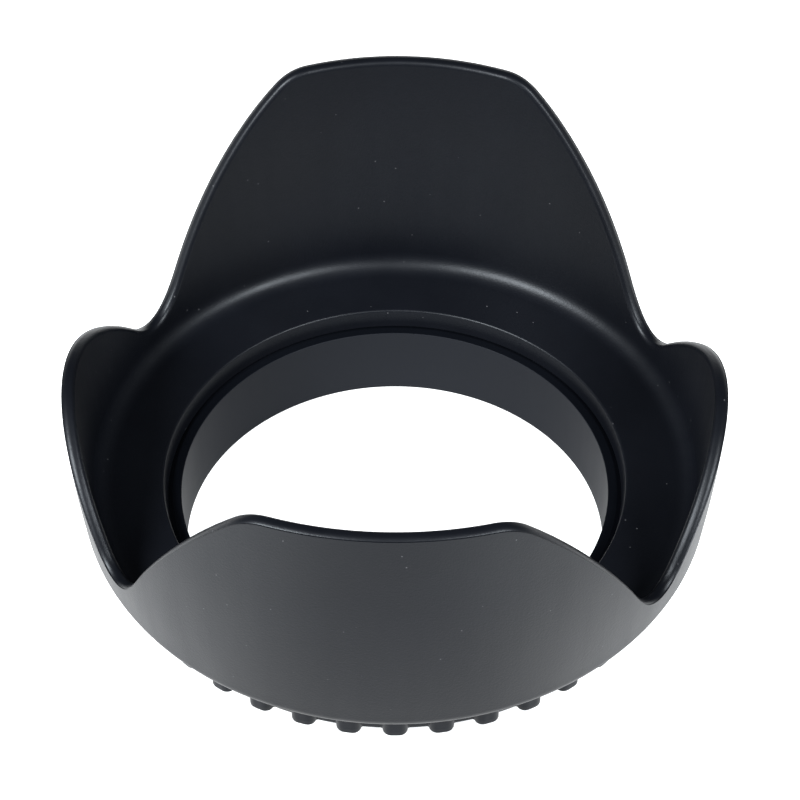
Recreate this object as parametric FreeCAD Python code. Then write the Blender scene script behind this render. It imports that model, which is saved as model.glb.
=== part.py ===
import FreeCAD, Part
import math
import os

from FreeCAD import Vector

# Screw-in petal lens hood for a 58 mm filter thread, in millimetres.
# Frame: the origin is the centre of the mount ring's rear end, +Z runs forward along the optical axis,
# the two long petals stand on +Y and -Y, and the two short petals on +X and -X.

# Mount ring: a thin tube with the male filter thread M58 x 0.75 at its rear, a relief groove,
# the thread of the lock ring in front of the groove, and a flange that holds the shade
THREAD_RADIUS = 28.95
THREAD_LEAD_IN = 0.35
THREAD_END_Z = 3.4
RELIEF_RADIUS = 28.5
RELIEF_WIDTH = 0.7
BORE_REAR_RADIUS = 27.4
BORE_FRONT_RADIUS = 27.6
FLANGE_RADIUS = 29.7
FLANGE_EDGE = 0.5
FLANGE_EDGE_ROUND = 0.15
FLANGE_CREST_RADIUS = 28.8
FLANGE_CREST = 0.95
FLANGE_FRONT = 1.1
BORE_EDGE_ROUND = 0.1

# Petal shade: a cup with a flat floor, a counterbore for the flange and a slightly bowed wall
FLOOR_Z = 12.5
FLOOR_EDGE_ROUND = 0.25
SEAT_Z = 9.2
LIP_THICKNESS = 1.0
BOSS_RADIUS = 33.9
BASE_Z = 10.5
BASE_ROUND = 2.2
WALL = 1.7
WALL_FOOT_RADIUS = 40.05
WALL_BEND_RADIUS = 41.65
WALL_BEND_Z = 25.0
WALL_BEND_ROUND = 220.0
WALL_TOP_RADIUS = 42.0
INNER_FOOT_RADIUS = 38.65
INNER_CORNER_ROUND = 2.5

# Petals, drawn on the wall unrolled at RIM_RADIUS
RIM_RADIUS = 41.5
LONG_TOP = 47.4
LONG_CROWN = 2.7
LONG_FLANK_RISE = 96.6
LONG_FLANK_BASE = -42.9
LONG_CORNER_BLEND = 1.8
SHORT_TOP = 29.7
SHORT_SLOPE = 2.43
SHORT_CROWN = 43.0
VALLEY_BLEND = 15.7
RIM_POINTS = 180
RIM_CUT_MARGIN = 4.0

# Lock ring: a knurled nut on the mount ring's thread, behind the shade
LOCK_REAR_Z = 4.5
LOCK_FRONT_Z = 10.2
LOCK_RADIUS = 35.3
LOCK_BORE_ROUND = 0.3
LOCK_CHAMFER = 0.3
LOCK_RECESS_RADIUS = 34.4
RIB_RADIUS = 36.5
RIB_COUNT = 39
RIB_WIDTH = 3.15
RIB_CORNER = 1.1
FIRST_RIB_DEGREES = 4.66

# Friction washer between the lock ring and the shade
WASHER_THICKNESS = 0.5
WASHER_RADIUS = 33.5

# Clearances
RUNNING = 0.06
FLANGE_GAP = 0.1
FACE_GAP = 0.02

CENTRE = Vector(0, 0, 0)
AXIS = Vector(0, 0, 1)


def rounded_outline(corners):
    """Wire in the XZ plane through (radius, z, corner round) points, with an arc at each rounded corner."""
    points = [Vector(r, 0, z) for r, z, _ in corners]
    count = len(points)
    edges = []
    starts = []
    ends = []
    for i, (_, _, rounding) in enumerate(corners):
        corner = points[i]
        back = (points[i - 1] - corner).normalize()
        ahead = (points[(i + 1) % count] - corner).normalize()
        half = back.getAngle(ahead) / 2
        reach = rounding / math.tan(half)
        start = corner + back * reach
        end = corner + ahead * reach
        if rounding > 0:
            middle = corner + (back + ahead).normalize() * (rounding / math.sin(half) - rounding)
            edges.append(Part.Arc(start, middle, end).toShape())
        starts.append(start)
        ends.append(end)
    for i in range(count):
        edges.append(Part.LineSegment(ends[i], starts[(i + 1) % count]).toShape())
    return Part.Wire(Part.__sortEdges__(edges))


def turned(corners):
    """Solid of revolution about the optical axis."""
    return Part.Face(rounded_outline(corners)).revolve(CENTRE, AXIS, 360)


def smooth_min(a, b, blend):
    """The smaller of two heights, with a soft corner where they cross."""
    overlap = max(blend - abs(a - b), 0) / blend
    return min(a, b) - overlap * overlap * blend / 4


def rim_height(angle):
    """Height of the petals' rim at an angle from +X, in radians."""
    from_short = math.asin(min(abs(math.sin(angle)), 1))
    along_short = RIM_RADIUS * from_short
    short = SHORT_TOP - SHORT_SLOPE * (math.hypot(along_short, SHORT_CROWN) - SHORT_CROWN)
    flank = LONG_FLANK_BASE + LONG_FLANK_RISE * math.sin(from_short)
    crown = LONG_TOP - LONG_CROWN * math.cos(from_short) ** 2
    long = smooth_min(flank, crown, LONG_CORNER_BLEND)
    return -smooth_min(-short, -long, VALLEY_BLEND)


def rim_curve(radius):
    """Closed curve at the height of the rim, at one distance from the axis."""
    points = []
    for i in range(RIM_POINTS):
        angle = 2 * math.pi * i / RIM_POINTS
        points.append(Vector(radius * math.cos(angle), radius * math.sin(angle), rim_height(angle)))
    curve = Part.BSplineCurve()
    curve.interpolate(Points=points, PeriodicFlag=True)
    return curve.toShape()


def space_above_rim():
    """Everything in front of the petals' rim, ruled along radial lines so the rim is square to the wall."""
    inside = rim_curve(INNER_FOOT_RADIUS - RIM_CUT_MARGIN)
    outside = rim_curve(WALL_TOP_RADIUS + RIM_CUT_MARGIN)
    return Part.makeRuledSurface(inside, outside).extrude(AXIS * LONG_TOP)


def petal_shade():
    lip_rear = SEAT_Z - LIP_THICKNESS
    lip_radius = THREAD_RADIUS + RUNNING
    counterbore_radius = FLANGE_RADIUS + FLANGE_GAP
    cup = turned([
        (lip_radius, lip_rear, 0),
        (BOSS_RADIUS, lip_rear, 0),
        (BOSS_RADIUS, BASE_Z, 0),
        (WALL_FOOT_RADIUS, BASE_Z, BASE_ROUND),
        (WALL_BEND_RADIUS, WALL_BEND_Z, WALL_BEND_ROUND),
        (WALL_TOP_RADIUS, LONG_TOP, 0),
        (WALL_TOP_RADIUS - WALL, LONG_TOP, 0),
        (WALL_BEND_RADIUS - WALL, WALL_BEND_Z, WALL_BEND_ROUND - WALL),
        (INNER_FOOT_RADIUS, FLOOR_Z, INNER_CORNER_ROUND),
        (counterbore_radius, FLOOR_Z, FLOOR_EDGE_ROUND),
        (counterbore_radius, SEAT_Z, 0),
        (lip_radius, SEAT_Z, 0),
    ])
    return cup.cut(space_above_rim())


def mount_ring():
    flange_rear = SEAT_Z + FACE_GAP
    return turned([
        (BORE_REAR_RADIUS, 0, 0),
        (THREAD_RADIUS - THREAD_LEAD_IN, 0, 0),
        (THREAD_RADIUS, THREAD_LEAD_IN, 0),
        (THREAD_RADIUS, THREAD_END_Z, 0),
        (RELIEF_RADIUS, THREAD_END_Z, 0),
        (RELIEF_RADIUS, THREAD_END_Z + RELIEF_WIDTH, 0),
        (THREAD_RADIUS, THREAD_END_Z + RELIEF_WIDTH, 0),
        (THREAD_RADIUS, flange_rear, 0),
        (FLANGE_RADIUS, flange_rear, 0),
        (FLANGE_RADIUS, flange_rear + FLANGE_EDGE, FLANGE_EDGE_ROUND),
        (FLANGE_CREST_RADIUS, flange_rear + FLANGE_CREST, 0),
        (BORE_FRONT_RADIUS, flange_rear + FLANGE_FRONT, BORE_EDGE_ROUND),
    ])


def knurl_outline():
    """Closed outline of the lock ring: ribs with parallel sides and round corners on a plain circle."""
    half = RIB_WIDTH / 2
    flat = half - RIB_CORNER
    bulge = RIB_CORNER * math.sqrt(0.5)
    foot = math.sqrt(LOCK_RADIUS ** 2 - half ** 2)
    tip = math.sqrt(RIB_RADIUS ** 2 - flat ** 2)
    shoulder = tip - RIB_CORNER
    half_rib = [(foot, half), (shoulder, half), (shoulder + bulge, flat + bulge), (tip, flat)]
    near = [Vector(x, -y, 0) for x, y in half_rib]
    far = [Vector(x, y, 0) for x, y in half_rib]
    step = 360 / RIB_COUNT
    to_valley = FreeCAD.Rotation(AXIS, step / 2)
    to_next = FreeCAD.Rotation(AXIS, step)
    rib = [
        Part.LineSegment(near[0], near[1]),
        Part.Arc(near[1], near[2], near[3]),
        Part.Arc(near[3], Vector(RIB_RADIUS, 0, 0), far[3]),
        Part.Arc(far[3], far[2], far[1]),
        Part.LineSegment(far[1], far[0]),
        Part.Arc(far[0], to_valley.multVec(Vector(LOCK_RADIUS, 0, 0)), to_next.multVec(near[0])),
    ]
    edges = []
    for i in range(RIB_COUNT):
        for curve in rib:
            edges.append(curve.toShape().rotated(CENTRE, AXIS, FIRST_RIB_DEGREES + i * step))
    return Part.Wire(edges)


def lock_ring():
    knurl = Part.Face(knurl_outline()).extrude(AXIS * (LOCK_FRONT_Z - LOCK_REAR_Z))
    knurl.translate(AXIS * LOCK_REAR_Z)
    bore = THREAD_RADIUS + RUNNING
    recess_z = SEAT_Z - LIP_THICKNESS - WASHER_THICKNESS - 2 * FACE_GAP
    chamfered = turned([
        (bore, LOCK_REAR_Z, LOCK_BORE_ROUND),
        (RIB_RADIUS - LOCK_CHAMFER, LOCK_REAR_Z, 0),
        (RIB_RADIUS + LOCK_CHAMFER, LOCK_REAR_Z + 2 * LOCK_CHAMFER, 0),
        (RIB_RADIUS + LOCK_CHAMFER, LOCK_FRONT_Z - 2 * LOCK_CHAMFER, 0),
        (RIB_RADIUS - LOCK_CHAMFER, LOCK_FRONT_Z, 0),
        (LOCK_RECESS_RADIUS, LOCK_FRONT_Z, 0),
        (LOCK_RECESS_RADIUS, recess_z, 0),
        (bore, recess_z, 0),
    ])
    return chamfered.common(knurl)


def friction_washer():
    front = SEAT_Z - LIP_THICKNESS - FACE_GAP
    rear = front - WASHER_THICKNESS
    bore = THREAD_RADIUS + RUNNING
    return turned([
        (bore, rear, 0),
        (WASHER_RADIUS, rear, 0),
        (WASHER_RADIUS, front, 0),
        (bore, front, 0),
    ])


PARTS = {
    "petal_shade": petal_shade,
    "mount_ring": mount_ring,
    "lock_ring": lock_ring,
    "friction_washer": friction_washer,
}

os.makedirs("parts", exist_ok=True)
for name, make in PARTS.items():
    shape = make()
    shape.exportStep("parts/" + name + ".step")
    print(name, "valid:", shape.isValid(), "solids:", len(shape.Solids), "mm3:", round(shape.Volume))
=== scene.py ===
import math

import bpy
import numpy as np
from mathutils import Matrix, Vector


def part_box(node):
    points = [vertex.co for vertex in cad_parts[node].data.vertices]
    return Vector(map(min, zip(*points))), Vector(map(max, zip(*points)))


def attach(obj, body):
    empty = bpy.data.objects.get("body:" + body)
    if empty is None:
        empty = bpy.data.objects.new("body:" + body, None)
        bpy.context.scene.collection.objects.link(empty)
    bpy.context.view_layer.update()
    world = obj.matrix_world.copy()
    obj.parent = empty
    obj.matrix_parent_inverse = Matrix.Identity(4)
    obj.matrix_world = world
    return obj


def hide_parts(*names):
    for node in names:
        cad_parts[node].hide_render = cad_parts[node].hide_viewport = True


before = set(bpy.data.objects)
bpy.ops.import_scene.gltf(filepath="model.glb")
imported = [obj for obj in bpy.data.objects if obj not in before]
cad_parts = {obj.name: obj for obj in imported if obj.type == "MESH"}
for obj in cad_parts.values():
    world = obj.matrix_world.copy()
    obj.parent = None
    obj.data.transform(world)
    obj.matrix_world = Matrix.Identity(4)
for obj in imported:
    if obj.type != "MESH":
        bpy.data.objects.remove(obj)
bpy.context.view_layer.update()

# A screw-in petal lens hood of black plastic. Lengths are in millimetres in the CAD model's frame, unless a
# comment says otherwise, and MM turns them into Blender's metres. +Z runs forward along the optical axis.
MM = 0.001
TURN = 2 * math.pi
QUARTER_TURN = TURN / 4

shade_low, shade_high = [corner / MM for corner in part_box("petal_shade")]
lock_low, lock_high = [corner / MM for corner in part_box("lock_ring")]
mount_low, mount_high = [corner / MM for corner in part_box("mount_ring")]
washer_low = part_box("friction_washer")[0] / MM
FACE_GAP = 0.02

# Petal shade
LONG_TOP = shade_high.z
WALL_TOP_RADIUS = shade_high.y
LIP_REAR_Z = shade_low.z
LIP_THICKNESS = 1.0
SEAT_Z = LIP_REAR_Z + LIP_THICKNESS
SEAT_ROUND = 0.15
FLOOR_Z = 12.5
HOLE_RADIUS = 29.8
HOLE_EDGE_ROUND = 0.3
LIP_RADIUS = 29.01
LIP_EDGE_ROUND = 0.15
BOSS_RADIUS = 33.9
BOSS_FOOT_ROUND = 0.2
BOSS_EDGE_ROUND = 0.3
BASE_Z = 10.5
BASE_ROUND = 2.2
WALL = 1.7
WALL_FOOT_RADIUS = 40.05
WALL_BEND_RADIUS = 41.65
WALL_BEND_Z = 25.0
WALL_BEND_ROUND = 220.0
INNER_FOOT_RADIUS = 38.65
INNER_CORNER_ROUND = 2.5
WALL_START_Z = FLOOR_Z + INNER_CORNER_ROUND

# The hole's wall has a draft: it narrows from the floor down to a throat just in front of the flange
THROAT_RADIUS = 29.35
THROAT_Z = 9.98
THROAT_EDGE = 0.05
THROAT_EDGE_ROUND = 0.02

# The rim's section: a crisp ledge at the mould's parting line, a crowned top and a full round on the inside.
# The ledge falls by LEDGE_FALL, and the rows below it are LEDGE_BAND apart.
RIM_ROUND = 0.6
CROWN_ROUND = 1.1
LEDGE_DEPTH = 0.25
LEDGE_WIDTH = 0.14
LEDGE_FALL = 0.02
LEDGE_BAND = 0.05

# Petals, drawn on the wall unrolled at RIM_RADIUS: a long petal is a crown between two flanks, a short petal
# is a wide bow, and a blend rounds the valley between them
RIM_RADIUS = 41.5
LONG_CROWN = 2.7
LONG_FLANK_RISE = 96.6
LONG_FLANK_BASE = -42.9
LONG_CORNER_BLEND = 1.8
SHORT_TOP = 29.7
SHORT_SLOPE = 2.43
SHORT_CROWN = 43.0
VALLEY_BLEND = 15.7

# Lock ring
LOCK_RADIUS = 35.3
LOCK_EDGE = 0.4
LOCK_END_RADIUS = LOCK_RADIUS - LOCK_EDGE - 0.2
LOCK_RECESS_RADIUS = 34.4
LOCK_RECESS_ROUND = 0.2
LOCK_BORE_ROUND = 0.35
RIB_RADIUS = 36.5
RIB_COUNT = 39
RIB_WIDTH = 3.15
RIB_CORNER = 1.1
RIB_FLARE = 0.25
FIRST_RIB = math.radians(4.66)

# Mount ring. The front stretch of its thread ends where the lock ring hides it.
THREAD_RADIUS = 28.95
THREAD_PITCH = 0.75
THREAD_DEPTH = 0.4
THREAD_FLAT = 0.15
THREAD_LEAD_IN = 0.35
THREAD_END_Z = 3.4
THREAD_HIDDEN_Z = lock_low.z + 1.0
THREAD_RUN_OUT = 0.1
RELIEF_RADIUS = 28.5
RELIEF_WIDTH = 0.7
RELIEF_ROUND = 0.05
BORE_REAR_RADIUS = 27.4
BORE_REAR_ROUND = 0.15
BORE_FRONT_RADIUS = 27.6
BORE_FRONT_ROUND = 0.1
BORE_MIDDLE_RADIUS = (BORE_REAR_RADIUS + BORE_FRONT_RADIUS) / 2
BORE_MIDDLE_Z = 5.0
FLANGE_RADIUS = 29.7
FLANGE_REAR_ROUND = 0.1
FLANGE_EDGE = 0.5
FLANGE_EDGE_ROUND = 0.15
FLANGE_CREST_RADIUS = 28.8
FLANGE_CREST = 0.95
FLANGE_CREST_ROUND = 0.3
FLANGE_FRONT = 1.1

# Fineness of the meshes. The rim's slope is taken over twice SLOPE_STEP, in radians.
SHADE_COLUMNS = 1200
TURNED_COLUMNS = 480
WALL_ROWS = 30
ROUND_ROWS = 9
THREAD_ROWS_PER_TURN = 14
RIM_SAMPLES = 7200
SLOPE_STEP = 1e-4
RIB_FLARE_STEPS = 4
RIB_TIP_STEPS = 3
CORNER_STEPS = 6
GAP_STEPS = 5
LOCK_SIDE_STEPS = 7
SHARP_ANGLE = math.radians(40)

# Sockets of a mix node for each kind of data: the first input, the second input and the result
MIX_SOCKETS = {"FLOAT": (2, 3, 0), "RGBA": (6, 7, 2)}

# Plastics. The scales of their patterns are in cells for each metre, and the grain's height is in metres.
# Black plastic gives back a slightly blue light, less so at a glancing angle. The wall of the bore has
# painted light, a paler colour standing in for the floor's glow on it, and that tone fades out between two
# radii.
SHADE_COLOUR = (0.0018, 0.0022, 0.0034)
MOUNT_COLOUR = (0.0014, 0.0018, 0.0028)
LOCK_COLOUR = (0.0022, 0.0027, 0.0042)
WASHER_COLOUR = (0.02, 0.02, 0.022)
PLASTIC_IOR = 1.5
REFLECTION_TINT = (0.86, 0.93, 1.0, 1)
DRIFT_SCALE = 55.0
DRIFT_LOW, DRIFT_HIGH = 0.3, 0.7
TONE_LOW, TONE_HIGH = 0.85, 1.15
GLOSS_DRIFT = 0.10
STREAK_SCALE = (420.0, 420.0, 26.0)
GRAIN_SCALE = 3200.0
GRAIN_HEIGHT = 0.00002
DUST_SCALE = 420.0
DUST_CORE, DUST_EDGE = 0.02, 0.045
DUST_COLOUR = (0.3, 0.31, 0.33, 1.0)
# Painted light: the bore wall's paler colour stands in for the glow of the floor that it catches
BORE_PAINTED_LIGHT_COLOUR = (0.0080, 0.0090, 0.0112, 1)
PAINTED_LIGHT_END = BORE_FRONT_RADIUS + 0.02
PAINTED_LIGHT_FADE_END = BORE_FRONT_RADIUS + 0.08

# Camera, which looks down into the hood. Its lens and its sensor are in millimetres, the rest in metres.
CAMERA_AZIMUTH = math.radians(2.2)
CAMERA_ELEVATION = math.radians(46.35)
CAMERA_DISTANCE = 0.3772
CAMERA_AIM = Vector((0.00068, 0, 0.02614))
CAMERA_NEAR = 0.01
CAMERA_LENS = 134.9
CAMERA_SENSOR = 36.0

# The floor glows like a light table: least in a lane in front of and behind the hood, most to its left and
# right, and evenly further out. Its lengths are in metres.
COOL_WHITE = (0.95, 0.98, 1.0, 1)
FLOOR_REACH = 3.0
FLOOR_COLOUR = (0.3, 0.3, 0.3, 1)
FLOOR_ROUGHNESS = 0.9
GLOW_LANE = 0.8
GLOW_SIDES = 1.72
GLOW_OUTSIDE = 0.68
LANE_HALF_WIDTH = 0.012
SIDES_START = 0.04
GLOW_RADIUS = 0.12
GLOW_END_RADIUS = 0.26

# The surround is pale at the horizon and fades to dark overhead, between two heights on a sphere of radius 1
HORIZON_GLOW = 0.78
OVERHEAD_GLOW = 0.065
FADE_START = 0.1
FADE_END = 0.3

# Round softboxes, all of one size and at one distance, in metres. Each has a direction and a power in watts.
SOFTBOX_SIZE = 0.35
SOFTBOX_DISTANCE = 0.9
SOFTBOXES = {
    "front_left": ((-0.56, -0.51, 0.65), 27.0),
    "front_right": ((0.57, -0.50, 0.65), 15.2),
    "low_left": ((-0.9, -0.35, 0.2), 0.6),
    "low_right": ((0.9, -0.35, 0.2), 0.7),
}


def show(name, data):
    """Adds an object to the scene."""
    made = bpy.data.objects.new(name, data)
    bpy.context.scene.collection.objects.link(made)
    return made


def grid_mesh(name, rows):
    """Closed quad mesh from rows x columns x 3 points in millimetres, joined up both ways."""
    rows = np.asarray(rows, float)
    count, columns = rows.shape[:2]
    index = np.arange(count * columns).reshape(count, columns)
    next_row = np.roll(index, -1, axis=0)
    quads = np.stack([index, np.roll(index, -1, axis=1), np.roll(next_row, -1, axis=1), next_row], axis=-1)
    mesh = bpy.data.meshes.new(name)
    mesh.from_pydata((rows.reshape(-1, 3) * MM).tolist(), [], quads.reshape(-1, 4).tolist())
    mesh.validate()
    mesh.shade_smooth()
    mesh.set_sharp_from_angle(angle=SHARP_ANGLE)
    return show(name, mesh)


def eased(steps):
    """Fractions from 0 up to but not including 1, closer together near both ends."""
    return (1 - np.cos(np.pi * np.arange(steps) / steps)) / 2


def stretch(start, end, steps):
    """Points from start up to but not including end."""
    return [tuple(np.array(start) + (np.array(end) - np.array(start)) * u) for u in eased(steps)]


def arc(centre, start, end, sweep, steps):
    """Points round a centre from start up to but not including end."""
    points = []
    for k in range(steps):
        turned = sweep * k / steps
        spoke = (start - centre) * math.sin(sweep - turned) + (end - centre) * math.sin(turned)
        points.append(tuple(centre + spoke / math.sin(sweep)))
    return points


def rounded_chain(corners, steps, arc_steps):
    """Open (radius, z) chain through (radius, z, corner round) points."""
    points = [np.array(corner[:2], float) for corner in corners]
    chain = []
    last = points[0]
    for i in range(1, len(points) - 1):
        corner = points[i]
        rounding = corners[i][2]
        back = (points[i - 1] - corner) / np.linalg.norm(points[i - 1] - corner)
        ahead = (points[i + 1] - corner) / np.linalg.norm(points[i + 1] - corner)
        half = math.acos(np.clip(back @ ahead, -1, 1)) / 2
        start = corner + back * rounding / math.tan(half)
        end = corner + ahead * rounding / math.tan(half)
        chain += stretch(last, start, steps)
        if rounding > 0:
            bisector = (back + ahead) / np.linalg.norm(back + ahead)
            centre = corner + bisector * rounding / math.sin(half)
            chain += arc(centre, start, end, math.pi - 2 * half, arc_steps)
        last = end
    return chain + stretch(last, points[-1], steps) + [tuple(points[-1])]


def ring(radius, angles, z):
    """One row of points round the optical axis."""
    return np.stack([radius * np.cos(angles), radius * np.sin(angles), z + np.zeros_like(angles)], axis=-1)


def turned_rows(chain, angles):
    """Rows of points for a (radius, z) chain turned about the optical axis."""
    return [ring(radius, angles, z) for radius, z in chain]


def smooth_min(a, b, blend):
    """The smaller of two heights, with a soft corner where they cross."""
    overlap = np.maximum(blend - np.abs(a - b), 0) / blend
    return np.minimum(a, b) - overlap * overlap * blend / 4


def rim_height(angle):
    """Height of the petals' rim at an angle from +X, in radians."""
    from_short = np.arcsin(np.clip(np.abs(np.sin(angle)), 0, 1))
    along_short = RIM_RADIUS * from_short
    short = SHORT_TOP - SHORT_SLOPE * (np.hypot(along_short, SHORT_CROWN) - SHORT_CROWN)
    flank = LONG_FLANK_BASE + LONG_FLANK_RISE * np.sin(from_short)
    crown = LONG_TOP - LONG_CROWN * np.cos(from_short) ** 2
    long = smooth_min(flank, crown, LONG_CORNER_BLEND)
    return -smooth_min(-short, -long, VALLEY_BLEND)


def rim_angles(columns):
    """Angles that space the columns evenly along the rim."""
    fine = np.linspace(0, TURN, RIM_SAMPLES + 1)
    length = np.hypot(np.diff(fine) * RIM_RADIUS, np.diff(rim_height(fine)))
    along = np.concatenate([[0], np.cumsum(length)])
    return np.interp(np.arange(columns) * along[-1] / columns, along, fine)


def wall_face(foot, bend, top, bend_round):
    """Radius of a wall face as a function of height: two straight drafts with a wide bend between them."""
    chain = np.array(rounded_chain([(*foot, 0), (*bend, bend_round), (*top, 0)], steps=12, arc_steps=80))

    def radius(z):
        return np.interp(z, chain[:, 1], chain[:, 0])

    return radius


outer_radius = wall_face(
    foot=(WALL_FOOT_RADIUS, BASE_Z),
    bend=(WALL_BEND_RADIUS, WALL_BEND_Z),
    top=(WALL_TOP_RADIUS, LONG_TOP),
    bend_round=WALL_BEND_ROUND)
inner_radius = wall_face(
    foot=(INNER_FOOT_RADIUS, FLOOR_Z),
    bend=(WALL_BEND_RADIUS - WALL, WALL_BEND_Z),
    top=(WALL_TOP_RADIUS - WALL, LONG_TOP),
    bend_round=WALL_BEND_ROUND - WALL)


def below_rim(angles, depth):
    """Angles and heights at a depth below the rim, measured square to it in the wall."""
    climb = rim_height(angles + SLOPE_STEP) - rim_height(angles - SLOPE_STEP)
    slope = climb / (2 * SLOPE_STEP * RIM_RADIUS)
    reach = depth / np.hypot(1, slope)
    return angles + reach * slope / RIM_RADIUS, rim_height(angles) - reach


def outer_rim_row(angles, depth, inset):
    """Row at a depth below the rim and a distance in from the outer face."""
    shifted, z = below_rim(angles, depth)
    return ring(outer_radius(z) - inset, shifted, z)


def inner_rim_row(angles, depth, inset):
    """Row at a depth below the rim and a distance in from the inner face."""
    shifted, z = below_rim(angles, depth)
    return ring(inner_radius(z) + inset, shifted, z)


def outer_rim(angles):
    """Rows from the rim's top down its crown and over the ledge to the outer face."""
    crown_end = math.asin(1 - LEDGE_DEPTH / CROWN_ROUND)
    rows = []
    for a in np.linspace(QUARTER_TURN, crown_end, ROUND_ROWS):
        inset = LEDGE_WIDTH + CROWN_ROUND * (math.cos(crown_end) - math.cos(a))
        rows.append(outer_rim_row(angles, CROWN_ROUND * (1 - math.sin(a)), inset))
    for share in (0.9, 0.5, 0.1, 0):
        rows.append(outer_rim_row(angles, LEDGE_DEPTH + LEDGE_FALL, LEDGE_WIDTH * share))
    rows.append(outer_rim_row(angles, LEDGE_DEPTH + LEDGE_BAND, 0))
    return rows


def inner_rim(angles):
    """Rows round the rim's inner edge, from the inner face up to the rim's top."""
    rows = []
    for a in np.linspace(QUARTER_TURN, 0, ROUND_ROWS):
        rows.append(inner_rim_row(angles, RIM_ROUND * (1 - math.cos(a)), RIM_ROUND * (1 - math.sin(a))))
    return rows


def wall_rows(face_radius, angles, top_depth):
    """Rows down a face of the wall, from a depth below the rim to the rounded inner corner's height."""
    top_angles, top_z = below_rim(angles, top_depth)
    rows = []
    for u in eased(WALL_ROWS)[1:]:
        z = top_z + (WALL_START_Z - top_z) * u
        rows.append(ring(face_radius(z), top_angles + (angles - top_angles) * u, z))
    return rows


def petal_shade():
    """The shade: its rim follows the petals, and everything below the walls' rows is turned."""
    angles = rim_angles(SHADE_COLUMNS)
    base = rounded_chain([
        (outer_radius(WALL_START_Z), WALL_START_Z, 0),
        (WALL_FOOT_RADIUS, BASE_Z, BASE_ROUND),
        (BOSS_RADIUS, BASE_Z, BOSS_FOOT_ROUND),
        (BOSS_RADIUS, LIP_REAR_Z, BOSS_EDGE_ROUND),
        (LIP_RADIUS, LIP_REAR_Z, LIP_EDGE_ROUND),
        (LIP_RADIUS, SEAT_Z, 0),
        (HOLE_RADIUS, SEAT_Z, SEAT_ROUND),
        (HOLE_RADIUS, THROAT_Z - THROAT_EDGE, 0),
        (THROAT_RADIUS, THROAT_Z, THROAT_EDGE_ROUND),
        (HOLE_RADIUS, FLOOR_Z, HOLE_EDGE_ROUND),
        (INNER_FOOT_RADIUS, FLOOR_Z, INNER_CORNER_ROUND),
        (inner_radius(WALL_START_Z), WALL_START_Z, 0),
    ], steps=8, arc_steps=10)
    rows = outer_rim(angles)
    rows += wall_rows(outer_radius, angles, LEDGE_DEPTH + 2 * LEDGE_BAND)
    rows += turned_rows(base, angles)
    rows += wall_rows(inner_radius, angles, RIM_ROUND)[::-1]
    rows += inner_rim(angles)
    return grid_mesh("shade_visual", rows[::-1])


def thread_radius(angle, z):
    """Radius of the male thread's outside: a right-handed V thread that fades in at the rear end."""
    phase = (z / THREAD_PITCH - angle / TURN) % 1
    tooth = np.abs(phase - 0.5) * 2
    depth = THREAD_DEPTH * np.clip((tooth - THREAD_FLAT) / (1 - 2 * THREAD_FLAT), 0, 1)
    lead = np.clip((z - mount_low.z) / THREAD_LEAD_IN, 0, 1)
    return THREAD_RADIUS - depth - THREAD_LEAD_IN * (1 - lead)


def thread_rows(angles, start, end):
    """Rows along a stretch of the male thread."""
    heights = np.arange(start, end, THREAD_PITCH / THREAD_ROWS_PER_TURN)
    return [ring(thread_radius(angles, z), angles, z) for z in heights]


def mount_ring():
    """The threaded tube, with its relief groove and its flange."""
    angles = np.arange(TURNED_COLUMNS) * TURN / TURNED_COLUMNS
    relief_front_z = THREAD_END_Z + RELIEF_WIDTH
    flange_rear_z = mount_high.z - FLANGE_FRONT
    rear = rounded_chain([
        (BORE_MIDDLE_RADIUS, BORE_MIDDLE_Z, 0),
        (BORE_REAR_RADIUS, mount_low.z, BORE_REAR_ROUND),
        (THREAD_RADIUS - THREAD_LEAD_IN, mount_low.z, 0),
    ], steps=8, arc_steps=5)
    relief = rounded_chain([
        (THREAD_RADIUS, THREAD_END_Z, 0),
        (RELIEF_RADIUS, THREAD_END_Z, RELIEF_ROUND),
        (RELIEF_RADIUS, relief_front_z, RELIEF_ROUND),
        (THREAD_RADIUS, relief_front_z, 0),
    ], steps=5, arc_steps=4)
    flange = rounded_chain([
        (THREAD_RADIUS, THREAD_HIDDEN_Z, 0),
        (THREAD_RADIUS, flange_rear_z, 0),
        (FLANGE_RADIUS, flange_rear_z, FLANGE_REAR_ROUND),
        (FLANGE_RADIUS, flange_rear_z + FLANGE_EDGE, FLANGE_EDGE_ROUND),
        (FLANGE_CREST_RADIUS, flange_rear_z + FLANGE_CREST, FLANGE_CREST_ROUND),
        (BORE_FRONT_RADIUS, mount_high.z, BORE_FRONT_ROUND),
        (BORE_MIDDLE_RADIUS, BORE_MIDDLE_Z, 0),
    ], steps=8, arc_steps=6)
    rows = turned_rows(rear[:-1], angles)
    rows += thread_rows(angles, mount_low.z, THREAD_END_Z)
    rows += turned_rows(relief[:-1], angles)
    rows += thread_rows(angles, relief_front_z, THREAD_HIDDEN_Z - THREAD_RUN_OUT)
    rows += turned_rows(flange[:-1], angles)
    return grid_mesh("mount_ring_visual", rows[::-1])


def rib_side():
    """Points along one side of a rib that points to +X, from its flared foot to the middle of its tip."""
    half = RIB_WIDTH / 2
    corner_y = half - RIB_CORNER
    shoulder = math.sqrt(RIB_RADIUS ** 2 - corner_y ** 2) - RIB_CORNER
    foot = math.sqrt(LOCK_RADIUS ** 2 - (half + RIB_FLARE) ** 2)
    points = []
    for u in np.linspace(0, 1, RIB_FLARE_STEPS + 1)[:-1]:
        points.append((foot + u * u * (shoulder - foot), -half - RIB_FLARE * (1 - u)))
    for a in np.linspace(-QUARTER_TURN, 0, CORNER_STEPS + 1):
        points.append((shoulder + RIB_CORNER * math.cos(a), -corner_y + RIB_CORNER * math.sin(a)))
    for y in np.linspace(-corner_y, 0, RIB_TIP_STEPS + 1)[1:]:
        points.append((math.sqrt(RIB_RADIUS ** 2 - y * y), y))
    return points


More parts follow.
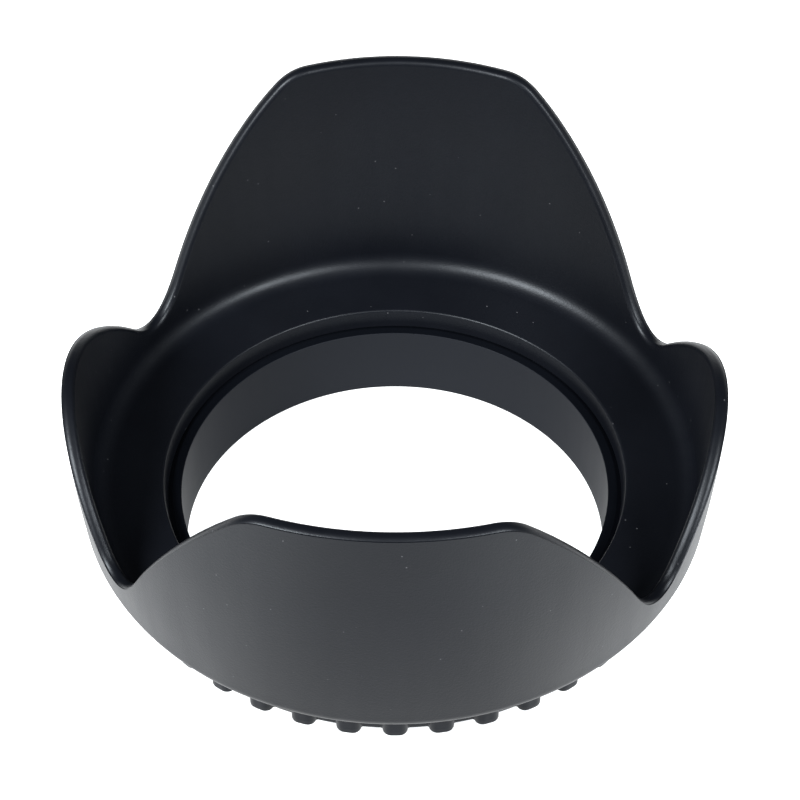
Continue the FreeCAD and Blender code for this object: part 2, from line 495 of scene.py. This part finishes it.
def rib_and_gap():
    """Points of a rib that points to +X, and of the plain ring from there to the next rib."""
    side = rib_side()
    other_side = [(x, -y) for x, y in side[::-1][1:]]
    foot_angle = math.asin((RIB_WIDTH / 2 + RIB_FLARE) / LOCK_RADIUS)
    plain = []
    for a in np.linspace(foot_angle, TURN / RIB_COUNT - foot_angle, GAP_STEPS + 1)[1:-1]:
        plain.append((LOCK_RADIUS * math.cos(a), LOCK_RADIUS * math.sin(a)))
    return side + other_side + plain


def knurl_outline():
    """Points and outward normals round the lock ring: round-cornered ribs on a plain ring."""
    points = []
    for i in range(RIB_COUNT):
        cos = math.cos(FIRST_RIB + TURN * i / RIB_COUNT)
        sin = math.sin(FIRST_RIB + TURN * i / RIB_COUNT)
        points += [(x * cos - y * sin, x * sin + y * cos) for x, y in rib_and_gap()]
    points = np.array(points)
    along = np.roll(points, -1, axis=0) - np.roll(points, 1, axis=0)
    along /= np.linalg.norm(along, axis=1)[:, None]
    return points, np.stack([along[:, 1], -along[:, 0]], axis=-1)


def lock_ring():
    """The knurled nut, with soft edges and a recess round the shade's boss."""
    outline, normals = knurl_outline()
    angles = np.unwrap(np.arctan2(outline[:, 1], outline[:, 0]))
    turns = np.linspace(0, QUARTER_TURN, CORNER_STEPS + 1)
    edge = [(LOCK_EDGE * (1 - math.sin(a)), LOCK_EDGE * (1 - math.cos(a))) for a in turns]
    side_z = np.linspace(lock_low.z + LOCK_EDGE, lock_high.z - LOCK_EDGE, LOCK_SIDE_STEPS + 1)
    outside = [(inset, lock_low.z + rise) for inset, rise in edge]
    outside += [(0, z) for z in side_z[1:-1]]
    outside += [(inset, lock_high.z - rise) for inset, rise in edge[::-1]]
    recess_z = washer_low.z - FACE_GAP
    inside = rounded_chain([
        (LOCK_END_RADIUS, lock_high.z, 0),
        (LOCK_RECESS_RADIUS, lock_high.z, LOCK_RECESS_ROUND),
        (LOCK_RECESS_RADIUS, recess_z, LOCK_RECESS_ROUND),
        (LIP_RADIUS, recess_z, LOCK_RECESS_ROUND),
        (LIP_RADIUS, lock_low.z, LOCK_BORE_ROUND),
        (LOCK_END_RADIUS, lock_low.z, 0),
    ], steps=5, arc_steps=5)
    rows = [np.column_stack([outline - normals * inset, np.full(len(outline), z)]) for inset, z in outside]
    rows += turned_rows(inside, angles)
    return grid_mesh("lock_ring_visual", rows)


def feed(tree, socket, value):
    """Links another node's output to a socket, or sets the socket to a constant."""
    if isinstance(value, bpy.types.NodeSocket):
        tree.links.new(value, socket)
    else:
        socket.default_value = value


def node(tree, kind, **values):
    """Adds a node, and gives values to its inputs and its settings by name."""
    made = tree.nodes.new(kind)
    for name, value in values.items():
        if name in made.inputs:
            feed(tree, made.inputs[name], value)
        else:
            setattr(made, name, value)
    return made


def object_place(tree):
    return node(tree, "ShaderNodeTexCoord").outputs["Object"]


def noise(tree, place, scale, detail, roughness):
    made = node(tree, "ShaderNodeTexNoise", Vector=place, Scale=scale, Detail=detail, Roughness=roughness)
    return made.outputs["Fac"]


def remap(tree, value, start, end, start_value, end_value, fade="LINEAR"):
    """A number that goes from start_value to end_value while the input goes from start to end."""
    made = node(tree, "ShaderNodeMapRange", Value=value, interpolation_type=fade)
    made.inputs["From Min"].default_value = start
    made.inputs["From Max"].default_value = end
    made.inputs["To Min"].default_value = start_value
    made.inputs["To Max"].default_value = end_value
    return made.outputs["Result"]


def multiply_add(tree, value, factor, offset):
    """The input times a factor, plus an offset."""
    made = node(tree, "ShaderNodeMath", operation="MULTIPLY_ADD")
    for socket, term in zip(made.inputs, (value, factor, offset)):
        feed(tree, socket, term)
    return made.outputs["Value"]


def mix(tree, data_type, share, first, second):
    """The first value where the share is 0, the second where it is 1."""
    made = node(tree, "ShaderNodeMix", data_type=data_type)
    first_socket, second_socket, result_socket = MIX_SOCKETS[data_type]
    feed(tree, made.inputs[0], share)
    feed(tree, made.inputs[first_socket], first)
    feed(tree, made.inputs[second_socket], second)
    return made.outputs[result_socket]


def new_material(name):
    """A material with its node tree and its Principled shader."""
    material = bpy.data.materials.new(name)
    material.use_nodes = True
    return material, material.node_tree, material.node_tree.nodes["Principled BSDF"]


def flow_streaks(tree, place):
    """Noise drawn out along the optical axis, the way that plastic flows up the wall of a mould."""
    drawn_out = node(tree, "ShaderNodeMapping", vector_type="POINT", Vector=place, Scale=STREAK_SCALE)
    return noise(tree, drawn_out.outputs["Vector"], scale=1.0, detail=2.0, roughness=0.5)


def drifting_colour(tree, drift, colour):
    """The plastic's colour, a little darker and lighter from place to place."""
    tone = remap(tree, drift, DRIFT_LOW, DRIFT_HIGH, TONE_LOW, TONE_HIGH)
    tinted = node(tree, "ShaderNodeVectorMath", operation="SCALE", Scale=tone)
    tinted.inputs[0].default_value = colour
    return tinted.outputs["Vector"]


def dusted(tree, place, colour, specks):
    """The colour with a few pale specks of dust."""
    cells = node(tree, "ShaderNodeTexVoronoi", Vector=place, Scale=DUST_SCALE, Randomness=1.0)
    dust = remap(tree, cells.outputs["Distance"], DUST_EDGE, DUST_CORE, 0.0, specks)
    return mix(tree, "RGBA", dust, colour, DUST_COLOUR)


def moulded_black(name, colour, shine, roughness, grain, specks, streaks):
    """Black plastic with a fine grain, slow drifts in tone and gloss, soft flow streaks and dust."""
    material, tree, shader = new_material(name)
    place = object_place(tree)
    drift = noise(tree, place, scale=DRIFT_SCALE, detail=3.0, roughness=0.6)
    colour = dusted(tree, place, drifting_colour(tree, drift, colour), specks)
    drifting_gloss = multiply_add(tree, drift, GLOSS_DRIFT, roughness - GLOSS_DRIFT / 2 - streaks / 2)
    streaked_gloss = multiply_add(tree, flow_streaks(tree, place), streaks, drifting_gloss)
    fine = noise(tree, place, scale=GRAIN_SCALE, detail=2.0, roughness=0.7)
    bump = node(tree, "ShaderNodeBump", Height=fine, Strength=grain, Distance=GRAIN_HEIGHT)
    feed(tree, shader.inputs["Base Color"], colour)
    feed(tree, shader.inputs["Roughness"], streaked_gloss)
    feed(tree, shader.inputs["Normal"], bump.outputs["Normal"])
    shader.inputs["Specular IOR Level"].default_value = shine
    shader.inputs["Specular Tint"].default_value = REFLECTION_TINT
    shader.inputs["IOR"].default_value = PLASTIC_IOR
    return material


def paint_bore_light(material):
    """Paints light on the wall of the bore: a paler colour than the rest of the mount ring, standing in for
    the floor's glow.
    """
    tree = material.node_tree
    base = tree.nodes["Principled BSDF"].inputs["Base Color"]
    moulded = base.links[0].from_socket
    flat = node(tree, "ShaderNodeVectorMath", operation="MULTIPLY")
    flat.inputs[1].default_value = (1, 1, 0)
    feed(tree, flat.inputs[0], object_place(tree))
    radius = node(tree, "ShaderNodeVectorMath", operation="LENGTH")
    feed(tree, radius.inputs[0], flat.outputs["Vector"])
    outside = remap(tree, radius.outputs["Value"], PAINTED_LIGHT_END * MM, PAINTED_LIGHT_FADE_END * MM, 0.0, 1.0)
    # Painted light: the paler colour goes on the bore's wall only and fades out towards the flange
    feed(tree, base, mix(tree, "RGBA", outside, BORE_PAINTED_LIGHT_COLOUR, moulded))


def dress(piece, material):
    piece.data.materials.clear()
    piece.data.materials.append(material)


def put(piece, cad_node, body, material):
    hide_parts(cad_node)
    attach(piece, body)
    dress(piece, material)


def hood():
    shade_abs = moulded_black(
        "shade_abs", SHADE_COLOUR, shine=0.155, roughness=0.40, grain=1.0, specks=0.2, streaks=0.08)
    mount_abs = moulded_black(
        "mount_abs", MOUNT_COLOUR, shine=0.032, roughness=0.48, grain=0.25, specks=0.08, streaks=0.06)
    lock_abs = moulded_black(
        "lock_abs", LOCK_COLOUR, shine=0.13, roughness=0.42, grain=0.5, specks=0.12, streaks=0.05)
    nylon = moulded_black(
        "washer_nylon", WASHER_COLOUR, shine=0.5, roughness=0.5, grain=0.4, specks=0.0, streaks=0.0)
    # Painted light on the bore's wall, standing in for the floor's glow
    paint_bore_light(mount_abs)
    put(petal_shade(), "petal_shade", "shade", shade_abs)
    put(mount_ring(), "mount_ring", "mount", mount_abs)
    put(lock_ring(), "lock_ring", "lock", lock_abs)
    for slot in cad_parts["friction_washer"].material_slots:
        slot.material = nylon


def camera():
    data = bpy.data.cameras.new("camera")
    data.lens = CAMERA_LENS
    data.sensor_width = CAMERA_SENSOR
    data.clip_start = CAMERA_NEAR
    made = show("camera", data)
    level = math.cos(CAMERA_ELEVATION)
    aside = math.sin(CAMERA_AZIMUTH) * level
    back = Vector((aside, -math.cos(CAMERA_AZIMUTH) * level, math.sin(CAMERA_ELEVATION)))
    made.location = CAMERA_AIM + back * CAMERA_DISTANCE
    made.rotation_mode = "QUATERNION"
    made.rotation_quaternion = (-back).to_track_quat("-Z", "Y")
    bpy.context.scene.camera = made


def softbox(name, direction, power):
    data = bpy.data.lights.new(name, "AREA")
    data.shape = "DISK"
    data.size = SOFTBOX_SIZE
    data.energy = power
    made = show(name, data)
    away = Vector(direction).normalized()
    made.location = CAMERA_AIM + away * SOFTBOX_DISTANCE
    made.rotation_mode = "QUATERNION"
    made.rotation_quaternion = away.to_track_quat("Z", "Y")


def glowing_white():
    """White that glows like a light table."""
    material, tree, shader = new_material("floor_white")
    place = object_place(tree)
    distance = node(tree, "ShaderNodeVectorMath", operation="LENGTH")
    feed(tree, distance.inputs[0], place)
    outside = remap(tree, distance.outputs["Value"], GLOW_RADIUS, GLOW_END_RADIUS, 0.0, 1.0, "SMOOTHSTEP")
    across = node(tree, "ShaderNodeSeparateXYZ", Vector=place).outputs["X"]
    aside = node(tree, "ShaderNodeMath", operation="ABSOLUTE")
    feed(tree, aside.inputs[0], across)
    sides = remap(
        tree, aside.outputs["Value"], LANE_HALF_WIDTH, SIDES_START, GLOW_LANE, GLOW_SIDES, "SMOOTHSTEP")
    feed(tree, shader.inputs["Emission Strength"], mix(tree, "FLOAT", outside, sides, GLOW_OUTSIDE))
    shader.inputs["Emission Color"].default_value = COOL_WHITE
    shader.inputs["Base Color"].default_value = FLOOR_COLOUR
    shader.inputs["Roughness"].default_value = FLOOR_ROUGHNESS
    return material


def light_table():
    """The glowing floor that the hood stands on."""
    mesh = bpy.data.meshes.new("floor")
    corners = [(x * FLOOR_REACH, y * FLOOR_REACH, 0) for x, y in ((-1, -1), (1, -1), (1, 1), (-1, 1))]
    mesh.from_pydata(corners, [], [(0, 1, 2, 3)])
    mesh.materials.append(glowing_white())
    floor = show("floor", mesh)


def surround():
    """A world that is pale at the horizon and dark overhead."""
    world = bpy.data.worlds.new("surround")
    world.use_nodes = True
    tree = world.node_tree
    direction = node(tree, "ShaderNodeTexCoord").outputs["Generated"]
    height = node(tree, "ShaderNodeSeparateXYZ", Vector=direction).outputs["Z"]
    strength = remap(tree, height, FADE_START, FADE_END, HORIZON_GLOW, OVERHEAD_GLOW, "SMOOTHSTEP")
    background = tree.nodes["Background"]
    background.inputs["Color"].default_value = COOL_WHITE
    feed(tree, background.inputs["Strength"], strength)
    bpy.context.scene.world = world


def studio():
    light_table()
    surround()
    for name, (direction, power) in SOFTBOXES.items():
        softbox(name, direction, power)


camera()
hood()
studio()
bpy.context.scene.view_settings.view_transform = "Standard"
